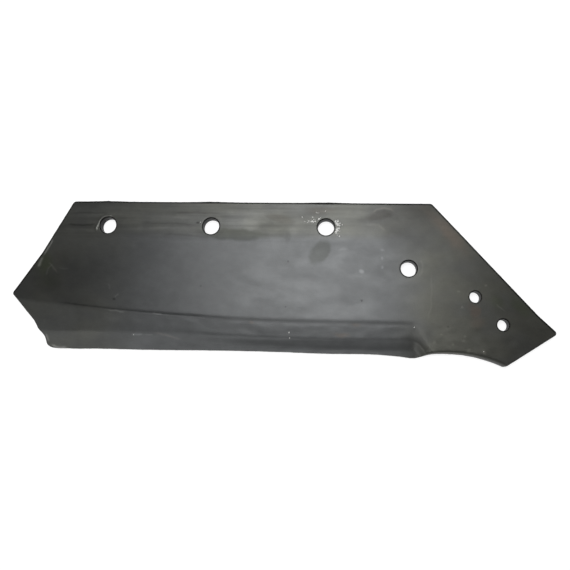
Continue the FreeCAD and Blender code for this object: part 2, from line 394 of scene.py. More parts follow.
class Solid:
    """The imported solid, asked for its heights and for distances to its edges."""

    def __init__(self, node, loops):
        self.node = node
        self.tree = BVHTree.FromObject(node, bpy.context.evaluated_depsgraph_get())
        self.outer_wall = wall_tree(loops[:1])
        self.hole_walls = wall_tree(loops[1:])

    def height(self, x, y, side):
        """Height of the forged face (side 1) or the seat face (side -1) at a plan point, or None."""
        place = self.tree.ray_cast(Vector((x, y, side)), Vector((0, 0, -side)))[0]
        return None if place is None else place.z

    def height_by(self, x, y, side):
        """The height there, or that of the nearest steel where the point lies just outside."""
        for reach in HEIGHT_REACHES:
            for step in range(HEIGHT_DIRECTIONS):
                angle = math.tau * step / HEIGHT_DIRECTIONS
                height = self.height(x + reach * math.cos(angle), y + reach * math.sin(angle), side)
                if height is not None:
                    return height
        raise ValueError(f"no steel near {x:.4f}, {y:.4f}")

    def eased_height(self, x, y):
        """Height of the forged face with the creases of the bands worked soft, as the hammer leaves them."""
        height = self.height_by(x, y, 1)
        reach = EASING_REACH * fade(crease_y(x) + 4 * MM - y, 0, 4 * MM)
        reach = min(reach, 0.8 * (self.rim_gap(x, y) - 1 * MM))
        if reach < 0.3 * MM:
            return height
        along = 1.6 * reach * hump(x - RUN_OUT_X, RUN_OUT_SPREAD)
        total, weights = EASING_CORE * height, EASING_CORE
        for share, weight in EASING:
            for side, slant in ((-1, -1), (-1, 1), (1, -1), (1, 1)):
                total += weight * self.height_by(x + side * share * along, y + slant * share * reach, 1)
                weights += weight
        return total / weights

    def hole_gap(self, x, y):
        """Plan distance from a point to the nearest bolt hole."""
        return self.hole_walls.find_nearest(Vector((x, y, 0)))[3]

    def edge_gap(self, x, y):
        """Plan distance from a point to the outer edge."""
        return self.outer_wall.find_nearest(Vector((x, y, 0)))[3]

    def upper_edge(self, x, y):
        """One right at an edge that looks towards the seat edge's side, and nothing away from it."""
        # a mask for a painted shade along the arrises that look this way
        nearest, _, _, gap = self.outer_wall.find_nearest(Vector((x, y, 0)))
        rise = 1 if gap < 1e-6 else (nearest.y - y) / gap
        return fade(rise, 0.2, 0.6) * (1 - fade(gap, 0.9 * MM, 2.3 * MM))

    def rim_gap(self, x, y):
        """Plan distance from a point to the nearest edge or hole."""
        return min(self.hole_gap(x, y), self.edge_gap(x, y))

    def creases(self, step, least_angle=math.radians(2.5), lowest=3.4 * MM):
        """Plan points along the creases of the forged face."""
        mesh = bmesh.new()
        mesh.from_mesh(self.node.data)
        bmesh.ops.remove_doubles(mesh, verts=mesh.verts, dist=1e-6)
        points = []
        for edge in mesh.edges:
            low, high = edge.verts
            if len(edge.link_faces) != 2 or min(low.co.z, high.co.z) < lowest:
                continue
            looks_up = all(face.normal.z > 0.5 for face in edge.link_faces)
            if looks_up and edge.calc_face_angle() > least_angle:
                count = max(1, round(edge.calc_length() / step))
                points += [low.co.lerp(high.co, i / count).xy[:] for i in range(count + 1)]
        mesh.free()
        return points


def thinned(points, spacing):
    """The points, with one at most in each square of the given spacing."""
    return list({(round(x / spacing), round(y / spacing)): (x, y) for x, y in points}.values())


def tree_of(points):
    """A search tree over plan points."""
    tree = kdtree.KDTree(len(points))
    for index, (x, y) in enumerate(points):
        tree.insert((x, y, 0), index)
    tree.balance()
    return tree


def face_points(solid, loops, step, creases):
    """Plan points over one face: rings inside each edge, the creases, and an even triangular grid."""
    points = []
    for loop in loops:
        for ring in RIM_RINGS:
            ringed = loop + inward(loop) * ring
            points += [(x, y) for x, y in ringed if solid.rim_gap(x, y) > 0.9 * ring]
    ridges = [(x, y) for x, y in thinned(creases, 0.5 * MM) if solid.rim_gap(x, y) > RIM_RINGS[-1]]
    points += ridges
    ridge_tree = tree_of(ridges)
    low, high = (np.array(corner[:2]) for corner in CAD_BOX)
    row_step = step * math.sqrt(3) / 2
    for row, y in enumerate(np.arange(low[1], high[1], row_step)):
        for x in np.arange(low[0] + 0.5 * step * (row % 2), high[0], step):
            if solid.height(x, y, 1) is None or solid.rim_gap(x, y) < RIM_RINGS[-1] + 0.45 * step:
                continue
            if not ridges or ridge_tree.find((x, y, 0))[2] > 0.6 * step:
                points.append((x, y))
    return np.array(points)


def filled(loops, points):
    """Triangles over the steel between the loops, as indices of the loops' points and then the others."""
    rims = np.vstack(loops)
    plan = [Vector(spot) for spot in (*rims, *points)]
    edges = []
    first = 0
    for loop in loops:
        count = len(loop)
        edges += [(first + i, first + (i + 1) % count) for i in range(count)]
        first += count
    faces = delaunay_2d_cdt(plan, edges, [], 0, 1e-9)[2]
    kept = []
    for face in faces:
        if max(face) < len(rims):
            x, y = rims[list(face)].mean(axis=0)
            if not inside(loops[0], x, y) or any(inside(hole, x, y) for hole in loops[1:]):
                continue
        kept.append(face)
    return kept


# ---------------------------------------------------------------- marks on the forged face

# Each mark is placed from a bolt hole, in millimetres. A shade below one darkens the scale and one
# above it lightens it. Warmth runs from green (-1) to rust brown (1), and bare is clean steel.
Patch = namedtuple("Patch", "hole offset size turn shade warmth edge", defaults=(0.0, 0.5))
Line = namedtuple("Line", "hole points width shade warmth bare", defaults=(0.0, 0.0))

PATCHES = (
    # the leaf-shaped oil stain below the nose bolt
    Patch(NOSE, (-5.4, -27.2), (15.2, 9.0), 57, 0.70, -0.25, 0.24),
    # smears round the row of seat bolts
    Patch(MIDDLE, (24, -9.0), (37, 7.0), -2, 0.66, -0.3, 0.3),
    Patch(MIDDLE, (69, -3), (18, 9.0), -4, 0.80, -0.1, 0.35),
    Patch(MIDDLE, (85, -12), (3.5, 6.5), 0, 0.86, 0.0, 0.4),
    Patch(MIDDLE, (76, 9), (15, 4.2), -16, 0.82, 0.25, 0.4),
    Patch(MIDDLE, (36, 14.6), (27, 3.2), -7, 1.12, 0.1, 0.5),
    Patch(MIDDLE, (39, 2.8), (22, 4.2), -2, 1.10),
    Patch(NOSE, (-7, 18), (16, 4.5), 0, 0.88, 0.35, 0.6),
    Patch(NOSE, (12, 19), (24, 6), 0, 0.90, 0.0, 0.6),
    Patch(NOSE, (70, -8), (15, 13), 0, 0.90, 0.0, 0.7),
    # broad darker areas over the flat
    Patch(NOSE, (-50, -62), (62, 34), 0, 0.945, 0.0, 0.9),
    Patch(WING, (22, -40), (36, 50), 0, 0.93, 0.0, 0.9),
    Patch(LOWER, (16, -76), (12, 19), 0, 0.86, 0.0, 0.8),
    Patch(NOSE, (58, 13.4), (14, 5.0), 10, 0.78, 0.15, 0.35),
    Patch(NOSE, (84, 6), (38, 25), -10, 0.76, 0.15, 0.7),
    Patch(NOSE, (104, 22), (18, 9), 0, 0.78, 0.1, 0.8),
    # pale smudges between the nose bolt and the lower bolt
    Patch(NOSE, (14, -34), (7, 4), 0, 1.10),
    Patch(NOSE, (19, -24), (4, 1.3), 5, 1.22),
    Patch(NOSE, (38.6, -48.0), (2.6, 2.0), -30, 1.75),
    Patch(NOSE, (60.5, -24.7), (1.8, 1.2), 0, 1.35),
    Patch(NOSE, (60.5, -33.3), (1.2, 1.8), 0, 1.45),
    Patch(NOSE, (60.5, -43.3), (1.2, 1.8), 0, 1.50),
    # brown and green tints towards the nose
    Patch(LOWER, (39, 43), (26, 6), -47, 1.04, 0.6, 0.9),
    Patch(LOWER, (52, 24), (26, 9), -60, 1.02, 0.25, 0.8),
    Patch(POINT, (-3, -11), (7, 5), -20, 0.94, 0.5, 0.6),
    Patch(POINT, (0, -16), (4.5, 5.5), -30, 1.02, 0.95, 0.6),
    Patch(POINT, (2, -27), (8, 6), 20, 1.04, 0.55, 0.7),
    Patch(TIP, (18, 20), (13, 6), -46, 0.96, -0.7, 0.7),
    Patch(TIP, (-6, 24), (9, 6), -40, 0.94, -0.5, 0.7),
    # reddish tints on the bands
    Patch(MIDDLE, (49, -105), (3, 1.6), 0, 1.05, 0.5, 0.6),
    Patch(LOWER, (-71, -72.3), (8, 2.4), -8, 1.10, 0.5, 0.6),
    Patch(LOWER, (-55, -60.6), (5, 2.2), 0, 1.0, 0.45, 0.6),
    # green and brown by the battered wing edge
    Patch(WING, (-66, -43), (13, 8), 55, 1.02, -1.0, 0.8),
    Patch(WING, (-58, -36), (6, 9), 10, 1.05, 0.6, 0.8),
    # darker areas towards the wing end, the first one greenish, and a dark spot
    Patch(WING, (-62, -64), (12, 8), 0, 0.86, -0.4, 0.9),
    Patch(WING, (-20, -58), (40, 30), -8, 0.84, 0.0, 0.9),
    Patch(WING, (13, -83), (1.6, 1.2), 0, 0.60),
    # pale scuffs on the nose
    Patch(POINT, (-35.5, -40.0), (1.3, 0.9), 20, 1.5),
    Patch(POINT, (-23.9, -50.1), (1.4, 1.0), 0, 1.5),
    Patch(POINT, (-42.8, -48.3), (1.8, 1.2), 30, 1.35),
    Patch(POINT, (-14.4, -11.0), (1.4, 0.9), 60, 1.7, 0.2, 0.5),
    Patch(POINT, (10.8, 12.7), (1.4, 0.9), 0, 1.5, 0.2, 0.5),
    Patch(TIP, (-39.1, -12.9), (1.3, 1.0), 0, 1.45),
    Patch(TIP, (-35.8, -27.5), (2.2, 1.4), 40, 1.45, 0.2, 0.5),
    Patch(TIP, (-20.0, -28.4), (2.6, 1.6), -50, 1.65, 0.3, 0.5),
    Patch(TIP, (-40.5, -17.5), (2.0, 1.0), 0, 1.3),
    # dark pits
    Patch(NOSE, (-41.3, -87.5), (0.9, 0.9), 0, 0.45),
    Patch(NOSE, (-40.3, -38.6), (1.0, 1.0), 0, 0.50),
    Patch(NOSE, (39.4, -79.5), (0.9, 1.0), 0, 0.45),
    Patch(MIDDLE, (-7.9, -66.7), (1.0, 1.2), 0, 0.65),
    Patch(MIDDLE, (-15.0, 3.4), (1.6, 1.1), 20, 0.40, 0.0, 0.4),
    Patch(POINT, (-28.8, -31.7), (1.0, 1.2), 0, 0.60),
)

LINES = (
    # rolled streaks along the seat edge
    Line(WING, ((-44, 8.6), (0, 12.0), (50, 11.0), (110, 9.6)), 2.4, 1.30),
    Line(WING, ((-46, 13.4), (-16, 13.8), (4, 13.6)), 0.9, 0.72),
    Line(WING, ((-48, 0.4), (-30, -0.2), (-12, 0.6)), 1.1, 0.62),
    Line(WING, ((-52, -4.6), (-30, -5.6), (-10, -7.0)), 1.7, 1.34),
    Line(WING, ((34, 3.2), (64, 2.6), (98, 1.8)), 1.2, 0.78),
    Line(WING, ((20, -3.5), (66, -3.4), (104, -6.2)), 2.4, 1.16),
    Line(WING, ((60, -9.5), (92, -10.5), (112, -13.5)), 1.5, 0.78, 0.1),
    Line(WING, ((70, 14.6), (100, 15.4), (130, 14.0)), 1.4, 0.74, 0.2),
    Line(MIDDLE, ((4, 20.5), (50, 20.0), (96, 21.0)), 1.3, 0.84),
    # pale rims of the smear beside the landside corner
    Line(NOSE, ((49, 14.5), (54, 20.0), (62, 22.3), (70, 20.8), (74, 17.0)), 0.9, 1.32, 0.3),
    Line(NOSE, ((42, 3.4), (56, 3.0), (64.5, -5.0)), 1.2, 1.18, 0.1),
    # scratches by the battered wing edge, and its pale bruised line
    Line(WING, ((-61.5, -16), (-66.6, -27), (-70.6, -36)), 0.8, 1.5, -0.3, 0.55),
    Line(WING, ((-71.4, -37), (-74.4, -43), (-75.4, -48.6)), 1.4, 1.5, -0.4, 0.40),
    Line(WING, ((-65, -42), (-59, -48), (-53, -55)), 0.7, 1.45, 0.5),
    Line(WING, ((-59, -45), (-64, -50), (-66.5, -58)), 0.7, 1.35, 0.3),
    Line(WING, ((-52, -49.5), (-46, -50), (-41, -49.7)), 0.5, 1.35),
    # faint scores on the flat
    Line(WING, ((5.7, -65.5), (7.0, -69), (7.8, -73)), 0.8, 1.28),
    Line(WING, ((17.6, -76.8), (15.5, -78.8), (13.2, -81.0)), 0.8, 1.65),
    Line(LOWER, ((24.5, -2), (23.0, -22), (22.4, -40), (18.5, -57)), 0.7, 1.20),
    Line(POINT, ((20.5, -6.7), (26, -11), (30.5, -15.5)), 0.6, 1.40, 0.2),
    Line(POINT, ((-19, 5.6), (-15.5, 5.2)), 0.8, 1.55),
    Line(LOWER, ((12.2, 11.0), (14.2, 4.5), (13.4, -3.5), (9.8, -9.6)), 1.0, 1.22),
    # the pale lower lip of the fold
    Line(WING, ((6, -95.3), (16, -95.8), (27, -96.3)), 0.6, 1.55, 0.0, 0.1),
    Line(WING, ((56, -97.6), (62, -98.4), (68, -98.8)), 0.6, 1.55, 0.0, 0.1),
    # pale chips along the lower corner of the wing end
    Line(WING, ((-61.5, -122), (-59.6, -126.5), (-58.4, -131)), 0.8, 1.5, 0.0, 0.35),
    Line(WING, ((-56, -134), (-50, -136.4), (-44, -136.6), (-38, -136.6)), 0.9, 1.7, 0.0, 0.55),
    # scratches on the steep band
    Line(WING, ((34, -121.0), (40, -120.6), (47, -121.0)), 0.8, 1.6),
    Line(WING, ((49, -120.8), (54, -120.4), (58, -120.6)), 0.7, 1.35, 0.2),
    Line(WING, ((57, -118.0), (74, -120.8), (90, -125.4)), 1.0, 1.28, 0.35),
)

# bright flecks of spatter and lifted scale: hole, offset and how wide
FLECKS = (
    (MIDDLE, (89.3, -114.8), 1.3), (MIDDLE, (89.9, -120.6), 0.9), (LOWER, (5.3, -62.3), 1.1),
    (WING, (36.7, -121.0), 0.8), (MIDDLE, (-11.6, 4.2), 0.8), (TIP, (-20.6, -28.0), 0.7),
)
# spatter round the nose bolt: from and to an angle, from and to a distance, how many and how wide
SPATTER = (
    (-34, 44, 2.6, 7.0, 46, 2.2),
    (-40, 10, 5.0, 11.0, 9, 1.3),
    (118, 160, 2.2, 8.0, 12, 2.0),
    (140, 166, 8.0, 24.0, 9, 1.5),
    (80, 125, 8.0, 15.0, 5, 1.3),
)
SPATTER_SEED = 7
# a flake's rings, from its foot to its top: how far out as a share of its half width, and how high
FLAKE_PROFILE = ((1.0, -0.10), (0.8, 0.10), (0.35, 0.20))
FLAKE_CORNERS = 7


def direction(angle):
    """Unit plan direction at an angle in degrees."""
    turn = math.radians(angle)
    return np.array([math.cos(turn), math.sin(turn)])


def place_of(hole, offset):
    """Plan place of an offset in millimetres from a bolt hole."""
    return HOLE_CENTRES[hole] + np.array(offset) * MM


def patch_cover(patch, x, y):
    """How far a patch covers plan points: one inside it, nothing outside, and soft between."""
    centre = place_of(patch.hole, patch.offset)
    turn = math.radians(patch.turn)
    along = (x - centre[0]) * math.cos(turn) + (y - centre[1]) * math.sin(turn)
    across = (y - centre[1]) * math.cos(turn) - (x - centre[0]) * math.sin(turn)
    reach = np.hypot(along / (patch.size[0] * MM), across / (patch.size[1] * MM))
    return 1 - fade(reach, 1 - patch.edge, 1 + patch.edge)


def line_cover(line, x, y):
    """How far a line covers plan points, thinning out towards its ends."""
    corners = [place_of(line.hole, offset) for offset in line.points]
    lengths = [float(np.linalg.norm(end - start)) for start, end in zip(corners, corners[1:])]
    gap = np.full(len(x), np.inf)
    reached = np.zeros(len(x))
    passed = 0.0
    for start, end, length in zip(corners, corners[1:], lengths):
        along = (end - start) / length
        t = np.clip((x - start[0]) * along[0] + (y - start[1]) * along[1], 0, length)
        here = np.hypot(x - start[0] - t * along[0], y - start[1] - t * along[1])
        nearer = here < gap
        gap = np.where(nearer, here, gap)
        reached = np.where(nearer, passed + t, reached)
        passed += length
    share = reached / passed
    ends = fade(share, 0, 0.2) * (1 - fade(share, 0.8, 1))
    return hump(gap, line.width * MM) * (0.15 + 0.85 * ends)


def wobble(x, y, length, reach, seed):
    """Smooth sideways shifts of plan points, so that marks get uneven outlines."""
    shifts = [noise.noise_vector(Vector((u / length, v / length, seed))) for u, v in zip(x, y)]
    return reach * np.array([shift[:2] for shift in shifts]).T


def marked(x, y):
    """Shade, warmth and bare steel that the marks give at plan points of the forged face."""
    shade = np.ones(len(x))
    warmth = np.zeros(len(x))
    bare = np.zeros(len(x))
    wide_x, wide_y = wobble(x, y, 9 * MM, 1.9 * MM, 3.1) + wobble(x, y, 3 * MM, 0.6 * MM, 5.7)
    fine_x, fine_y = wobble(x, y, 7 * MM, 0.8 * MM, 9.2)
    for patch in PATCHES:
        small = max(patch.size) < 4
        cover = patch_cover(patch, x + (fine_x if small else wide_x), y + (fine_y if small else wide_y))
        shade *= 1 + (patch.shade - 1) * cover
        warmth += patch.warmth * cover
    for line in LINES:
        cover = line_cover(line, x + fine_x, y + fine_y)
        shade *= 1 + (line.shade - 1) * cover
        warmth += line.warmth * cover
        bare = np.maximum(bare, line.bare * cover)
    return shade, np.clip(warmth, -1, 1), bare


# ---------------------------------------------------------------- relief of the forged face


def ripple(x, y, length_x, length_y, seed):
    """Smooth noise between -1 and 1 with the given lengths along X and Y."""
    return noise.noise(Vector((x / length_x, y / length_y, seed)))


def hump(distance, width):
    """One at no distance, and falling smoothly to nothing a few widths away."""
    return np.exp(-((distance / width) ** 2))


def fade(value, start, end):
    """Nothing before start, one after end, and smooth between."""
    t = np.minimum(1.0, np.maximum(0.0, (value - start) / (end - start)))
    return t * t * (3 - 2 * t)


# the drawn-out bands: the upper crease, the shoulder of the steep band, its lip and its run-out
CREASE_Y = -102.5 * MM
CREASE_BENDS_X = 110 * MM
CREASE_RADIUS = 2500 * MM
SHOULDER_Y = -119.5 * MM
LIP_Y = -130.5 * MM
RUN_OUT_X = 222 * MM
# the thin fold along the crease, and the soft trough that it widens into
FOLD_STARTS_X = -172 * MM
FOLD_ENDS_X = 30 * MM
FOLD_WIDTH = 0.95 * MM
TROUGH_WIDTH = 2.6 * MM
TROUGH_DEPTH = 0.12 * MM
# the burr round the wing bolt, between two angles in degrees, and how far its end runs out
BURR_RADIUS = 10.9 * MM
BURR_FLARE = 3.4 * MM
BURR_FLARES_AT = 165
BURR_SPAN = (68, 208)
BURR_WIDTH = 0.75 * MM
BURR_HEIGHT = 0.35 * MM
# waves of the face: their lengths along X and Y, and a seed
SLOW_WAVE = (75 * MM, 48 * MM, 2.7)
ROLLED_WAVE = (110 * MM, 5.5 * MM, 8.1)
HAMMER_WAVE = (13 * MM, 8 * MM, 4.4)
PIT_WAVE = (2.2 * MM, 2.2 * MM, 6.2)
ROLLED_DEPTH = 0.022 * MM
PIT_DEPTH = 0.05 * MM


def crease_y(x):
    """Where the drawn-out bands begin: level to the nose, and rising towards the wing."""
    return CREASE_Y + np.maximum(0.0, CREASE_BENDS_X - x) ** 2 / (2 * CREASE_RADIUS)


def fold_mask(x, y):
    """Along the upper crease: a thin fold at the wing end that widens into a soft trough."""
    gap = y - crease_y(x)
    thin = hump(gap, FOLD_WIDTH) * (1 - fade(x, -60 * MM, FOLD_ENDS_X)) * fade(x, FOLD_STARTS_X, -150 * MM)
    soft = hump(gap + 0.8 * MM, TROUGH_WIDTH) * fade(x, -110 * MM, 0)
    soft *= 1 - fade(x, RUN_OUT_X - 15 * MM, RUN_OUT_X + 5 * MM)
    return thin, soft


def burr_radius(angle):
    """How far the burr runs from the wing bolt's centre at an angle in degrees."""
    return BURR_RADIUS + BURR_FLARE * fade(angle, BURR_FLARES_AT, BURR_SPAN[1])


def burr_mask(x, y):
    """Round the wing bolt's hole: the ridge of an arc that the punch pushed up."""
    dx, dy = x - HOLE_CENTRES[WING][0], y - HOLE_CENTRES[WING][1]
    angle = np.degrees(np.arctan2(dy, dx)) % 360
    first, last = BURR_SPAN
    along = fade(angle, first, first + 15) * (1 - fade(angle, last - 12, last))
    return along * hump(np.hypot(dx, dy) - burr_radius(angle), BURR_WIDTH)


def relief(x, y, gap, skin):
    """How far the forged face stands above the solid at a plan point."""
    slow = skin.waviness * ripple(x, y, *SLOW_WAVE)
    rolled = ROLLED_DEPTH * ripple(x, y, *ROLLED_WAVE) * fade(y, -22 * MM, -4 * MM)
    thin, soft = fold_mask(x, y)
    fold = -skin.fold_depth * thin - TROUGH_DEPTH * soft
    drawn = fade(crease_y(x) - y, 1 * MM, 6 * MM)
    hammered = skin.hammer_depth * drawn * ripple(x, y, *HAMMER_WAVE)
    burr = BURR_HEIGHT * burr_mask(x, y)
    pitted = PIT_DEPTH * min(0.0, ripple(x, y, *PIT_WAVE) + 0.35)
    return (slow + rolled + fold + hammered + burr) * fade(gap, 0, 1.5 * MM) + pitted


def fine_points():
    """Plan points that follow the narrow marks, so that the skin can carry them."""
    points = []
    for line in LINES:
        if line.width > 1.2:
            continue
        corners = [place_of(line.hole, offset) for offset in line.points]
        for start, end in zip(corners, corners[1:]):
            along = end - start
            length = float(np.linalg.norm(along))
            across = np.array([-along[1], along[0]]) / length
            for t in np.arange(0, length, 0.7 * MM):
                for side in (-1, -0.4, 0.4, 1):
                    points.append(tuple(start + along * t / length + across * side * 0.8 * MM))
    for angle in range(*BURR_SPAN, 3):
        for side in (-0.9, -0.35, 0.3, 0.9):
            points.append(tuple(HOLE_CENTRES[WING] + (burr_radius(angle) + side * MM) * direction(angle)))
    return points


# ---------------------------------------------------------------- building the skin


# painted shade: how much the crease's fold and trough and the upper edges' arrises darken the scale
FOLD_DARK = 0.42
TROUGH_DARK = 0.24
EDGE_DARK = 0.85
# how much of the scale's tone is left right at the hole mouths, which are darker
HOLE_MOUTH_TONE = 0.12
BURR_BARE = 0.22
# a painted highlight along the brow at the top of the steep band
BROW_Y = -121.5 * MM
BROW_WIDTH = 2.4 * MM
# how far from both rims the first and the last row of a wall lie, as a share of its height
WALL_RIM = 0.25 / 11
TEAR_LENGTH = 1.3 * MM
ARRIS_REACH = 0.3 * MM
# what the forged face's masks are, and their values everywhere else
MASKS = (("shade", 1.0), ("warmth", 0.0), ("bare", 0.0), ("olive", 1.0))


def wall_shares(rows):
    """Shares of the way down a wall for its inner rows, closer together next to both rims."""
    return np.linspace(WALL_RIM, 1 - WALL_RIM, rows - 1)


def wall_faces(loops, row_starts):
    """Faces down the walls, from one row of rim points to the next."""
    faces = []
    first = 0
    for loop in loops:
        count = len(loop)
        for upper, lower in zip(row_starts[:-1], row_starts[1:]):
            for i in range(count):
                here, onward = first + i, first + (i + 1) % count
                faces.append([upper + here, lower + here, lower + onward, upper + onward])
        first += count
    return faces


def faced(solid, x, y):
    """Shade, warmth, bare steel and olive tint of the forged face, from its zones and its marks."""
    shade, warmth, bare = marked(x, y)
    below = fade(crease_y(x) - y, 0, 5 * MM)
    before_run_out = 1 - fade(x, RUN_OUT_X - 20 * MM, RUN_OUT_X + 12 * MM)
    wing_side = 1 - fade(x, -60 * MM, 40 * MM)
    steep = fade(SHOULDER_Y - y, -3 * MM, 3 * MM) * before_run_out
    lip = fade(LIP_Y - y, -1.5 * MM, 2 * MM) * before_run_out
    brow = hump(y - BROW_Y, BROW_WIDTH) * fade(x, 10 * MM, 70 * MM) * before_run_out
    middle = hump(x + 55 * MM, 38 * MM) * steep
    corner = fade(-x, 110 * MM, 170 * MM) * fade(-y, 18 * MM, 40 * MM) * (1 - below)
    # how much lighter or darker each zone is than the open flat; the bands carry painted light and shade
    zones = (
        (0.30, below * before_run_out),
        (1.0, (0.18 - 0.30 * wing_side) * steep),
        (0.28, lip * (1 - wing_side)),
        (0.34, brow),
        (0.12, middle),
        # darker towards both ends and at the wing corner
        (-0.09, fade(-x, 80 * MM, 150 * MM) * (1 - steep)),
        (-0.26, fade(x, 250 * MM, 345 * MM)),
        (-0.14, corner),
    )
    for lift, cover in zones:
        shade *= 1 + lift * cover
    wing_end = fade(-x, 60 * MM, 150 * MM)
    nose_end = fade(x, 185 * MM, 250 * MM)
    strip = fade(y, -16 * MM, -4 * MM)
    olive = np.maximum.reduce([0.7 * wing_end, nose_end, 0.65 * strip])
    thin, soft = fold_mask(x, y)
    # darker round the mouths of the holes
    clear = fade(np.array([solid.hole_gap(*spot) for spot in zip(x, y)]), 0.5 * MM, 1.6 * MM)
    # painted shade along the arrises of the edges that look towards the seat edge's side
    dark_edge = np.array([solid.upper_edge(*spot) for spot in zip(x, y)])
    # painted shade: the fold and the trough along the crease are darker, as shade falls in them
    shade *= (1 - FOLD_DARK * thin) * (1 - TROUGH_DARK * soft)
    shade *= (HOLE_MOUTH_TONE + (1 - HOLE_MOUTH_TONE) * clear) * (1 - EDGE_DARK * dark_edge)
    return shade, warmth, np.maximum(bare, BURR_BARE * burr_mask(x, y)), olive


def build_skin(name, node, skin):
    """A fine closed mesh of the share over the node, with its relief and its masks."""
    loops = share_loops(node, skin.rim_step)
    solid = Solid(node, loops)
    rims = np.vstack(loops)
    into = np.vstack([inward(loop) for loop in loops])
    places, faces = [], []
    face_starts = {}
    creased = solid.creases(0.8 * MM) + fine_points()
    for side, step, creases in ((1, skin.face_step, creased), (-1, skin.seat_step, [])):
        face_starts[side] = first = len(places)
        inner = face_points(solid, loops, step, creases)
        casts = np.vstack([rims + into * RIM_NUDGE, inner])
        for (x, y), cast in zip(np.vstack([rims, inner]), casts):
            if side > 0:
                z = solid.eased_height(*cast) + relief(x, y, solid.rim_gap(x, y), skin)
            else:
                z = solid.height_by(*cast, side)
            places.append((x, y, z))
        for face in filled(loops, inner):
            faces.append([first + index for index in face[::side]])
    face_count = len(faces)
    tops, feet = (np.array(places[start : start + len(rims)]) for start in face_starts.values())
    row_starts = [face_starts[1]]
    for share in wall_shares(skin.wall_rows):
        row_starts.append(len(places))
        for (x, y, z), (nx, ny) in zip(tops + (feet - tops) * share, into):
            torn = skin.crop_roughness * noise.noise(Vector((x, y, 0.25 * z)) / TEAR_LENGTH)
            places.append((x + nx * torn, y + ny * torn, z))
    faces += wall_faces(loops, [*row_starts, face_starts[-1]])
    mesh = bpy.data.meshes.new(name)
    mesh.from_pydata(places, [], faces)
    mesh.update()
    x, y, _ = np.array(places).T
    forged = slice(0, face_starts[-1])
    masks = {}
    for (label, elsewhere), values in zip(MASKS, faced(solid, x[forged], y[forged])):
        masks[label] = np.full(len(x), elsewhere)
        masks[label][forged] = values
    masks["rim_gap"] = np.array([solid.rim_gap(*spot) for spot in zip(x, y)]) / MM
    masks["in_hole"] = np.array([solid.hole_gap(*spot) < 2 * skin.crop_roughness for spot in zip(x, y)])
    for label, values in masks.items():
        mesh.attributes.new(label, "FLOAT", "POINT").data.foreach_set("value", values.astype(np.float32))
    slots = np.zeros(len(faces), np.int32)
    slots[face_count:] = 1
    mesh.polygons.foreach_set("material_index", slots)
    mesh.polygons.foreach_set("use_smooth", np.ones(len(faces), bool))
    piece = bpy.data.objects.new(name, mesh)
    bpy.context.scene.collection.objects.link(piece)
    return piece


def soften_rims(piece, reach):
    """Rounds the arrises a little, as handling leaves them."""
    mesh = bmesh.new()
    mesh.from_mesh(piece.data)
    gap = mesh.verts.layers.float["rim_gap"]
    rim = [vert for vert in mesh.verts if vert[gap] < reach / MM]
    for _ in range(2):
        bmesh.ops.smooth_vert(mesh, verts=rim, factor=0.4, use_axis_x=True, use_axis_y=True, use_axis_z=True)
    mesh.to_mesh(piece.data)
    mesh.free()


# ---------------------------------------------------------------- steels


def add(tree, kind, settings=None, **sockets):
    """Adds a shader node with its settings, and fills or links its sockets by name, _ for a space."""
    made = tree.nodes.new(kind)
    for name, value in (settings or {}).items():
        setattr(made, name, value)
    for name, value in sockets.items():
        fill_socket(tree, made.inputs[name.replace("_", " ")], value)
    return made


def fill_socket(tree, socket, value):
    """Links another socket into this one, or sets its plain value."""
    if isinstance(value, bpy.types.NodeSocket):
        tree.links.new(value, socket)
    elif socket.type == "RGBA" and len(value) == 3:
        socket.default_value = (*value, 1)
    else:
        socket.default_value = value


def sum_of(tree, operation, first, second):
    """One Math node's result."""
    made = add(tree, "ShaderNodeMath", {"operation": operation})
    fill_socket(tree, made.inputs[0], first)
    fill_socket(tree, made.inputs[1], second)
    return made.outputs[0]


def mixed(tree, factor, first, second, blend="MIX"):
    """One colour mixed over another."""
    made = add(tree, "ShaderNodeMix", {"data_type": "RGBA", "blend_type": blend})
    fill_socket(tree, made.inputs[0], factor)
    fill_socket(tree, made.inputs[6], first)
    fill_socket(tree, made.inputs[7], second)
    return made.outputs[2]


def ranged(tree, value, low, high, out_low=0.0, out_high=1.0):
    """A value brought from one range to another, smoothly and clamped."""
    made = add(
        tree,
        "ShaderNodeMapRange",
        {"interpolation_type": "SMOOTHSTEP"},
        Value=value,
        From_Min=low,
        From_Max=high,
        To_Min=out_low,
        To_Max=out_high,
    )
    return made.outputs["Result"]


def stretched_noise(tree, scale, detail=3.0, roughness=0.5):
    """Noise over the object's own coordinates, with its own scale along X, Y and Z, per metre."""
    place = add(tree, "ShaderNodeTexCoord").outputs["Object"]
    mapping = add(tree, "ShaderNodeMapping", Vector=place, Scale=scale)
    made = add(
        tree,
        "ShaderNodeTexNoise",
        Vector=mapping.outputs["Vector"],
        Scale=1.0,
        Detail=detail,
        Roughness=roughness,
    )
    return made.outputs["Fac"]


def mask(tree, name):
    """A mask that the skin carries."""
    return add(tree, "ShaderNodeAttribute", {"attribute_name": name}).outputs["Fac"]


def new_group(name, inputs, outputs):
    """An empty shader node group with the named inputs, as (name, kind, default), and outputs."""
    group = bpy.data.node_groups.new(name, "ShaderNodeTree")
    for label, kind, value in inputs:
        socket = group.interface.new_socket(label, in_out="INPUT", socket_type=kind)
        socket.default_value = value
    for label, kind in outputs:
        group.interface.new_socket(label, in_out="OUTPUT", socket_type=kind)
    return group, group.nodes.new("NodeGroupInput"), group.nodes.new("NodeGroupOutput")


